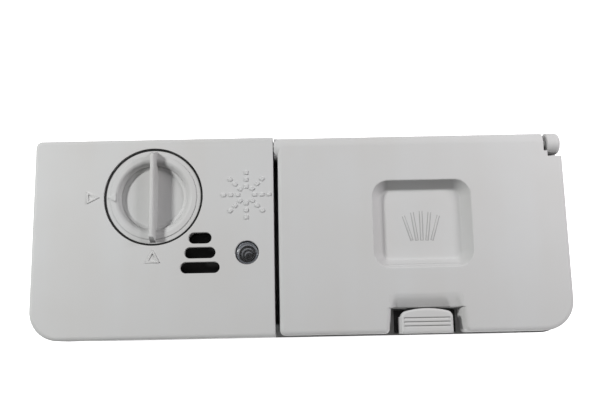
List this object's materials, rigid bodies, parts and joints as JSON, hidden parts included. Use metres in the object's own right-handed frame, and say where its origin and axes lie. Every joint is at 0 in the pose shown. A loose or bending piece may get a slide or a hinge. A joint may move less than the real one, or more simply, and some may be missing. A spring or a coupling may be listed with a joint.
{
  "type": "dishwasher detergent dispenser",
  "caption": "Door-mounted dishwasher dispenser with a latched, hinged detergent lid, a bayonet rinse-aid cap, outlet slots, a level lens and solenoid-driven latch and valve.",
  "frame": {"origin": "centre of the bounding box's underside, with the part lying on the rear rim of its housing", "axes": "+X along the face from reservoir to detergent cup, +Y across the face towards the lid's hinge, +Z out of the face"},
  "size_m": [0.225, 0.0848, 0.0502],
  "materials": {
    "face_plastic": "fine spark-eroded texture, light neutral grey",
    "base_plastic": "plain moulded, light neutral grey",
    "cap_plastic": "smooth moulded, satin",
    "latch_plastic": "smooth moulded, satin",
    "clear_plastic": "polished clear",
    "black_plastic": "plain moulded black",
    "seal_rubber": "matt black elastomer",
    "bright_steel": "drawn wire and ground pin",
    "yoke_steel": "zinc plated strip",
    "terminal_brass": "tinned blade",
    "winding_copper": "enamelled copper wire"
  },
  "bodies": {
    "housing": {"front_panel": "face_plastic", "base_housing": "base_plastic", "rear_cover": "base_plastic", "level_lens": "clear_plastic", "dosing_chamber": "black_plastic", "lid_bobbin": "black_plastic", "dosing_bobbin": "black_plastic", "latch_boot": "seal_rubber", "door_gasket": "seal_rubber", "hinge_pin": "bright_steel", "latch_pin": "bright_steel", "hinge_spring": "bright_steel", "latch_spring": "bright_steel", "dosing_spring": "bright_steel", "cover_screws": "bright_steel", "lid_yoke": "yoke_steel", "dosing_yoke": "yoke_steel", "lid_terminals": "terminal_brass", "dosing_terminals": "terminal_brass", "lid_winding": "winding_copper", "dosing_winding": "winding_copper"},
    "lid": {"lid_panel": "face_plastic", "lid_seal": "seal_rubber"},
    "latch": {"latch_lever": "latch_plastic"},
    "lid_plunger": {"lid_armature": "yoke_steel"},
    "cap": {"rinse_cap": "cap_plastic", "cap_seal": "seal_rubber"},
    "dosing_plunger": {"dosing_armature": "yoke_steel", "valve_seal": "seal_rubber"}
  },
  "joints": [
    {"name": "lid_hinge", "type": "hinge", "parent": "housing", "child": "lid", "pos_m": [0.05, 0.03765, 0.0413], "axis": [-1, 0, 0], "range_deg": [0, 105], "deforming": ["hinge_spring"]},
    {"name": "latch_rock", "type": "hinge", "parent": "housing", "child": "latch", "pos_m": [0.05162, -0.0338, 0.024], "axis": [1, 0, 0], "range_deg": [-1, 8], "deforming": ["latch_spring"]},
    {"name": "lid_plunger_slide", "type": "slide", "parent": "housing", "child": "lid_plunger", "axis": [0, 0, 1], "range_m": [-0.00021, 0.0017], "stiffness_N_per_m": 130, "springref_m": 0.00022},
    {"name": "cap_turn", "type": "hinge", "parent": "housing", "child": "cap", "pos_m": [-0.0616, 0.01715, 0.046], "axis": [0, 0, 1], "range_deg": [0, 90]},
    {"name": "dosing_lift", "type": "slide", "parent": "housing", "child": "dosing_plunger", "axis": [0, 0, 1], "range_m": [0, 0.002], "stiffness_N_per_m": 40, "springref_m": -0.003, "deforming": ["dosing_spring"]}
  ],
  "couplings": [
    {"joint": "latch_rock", "follows": "lid_plunger_slide", "rad_per_m": 81.3}
  ]
}
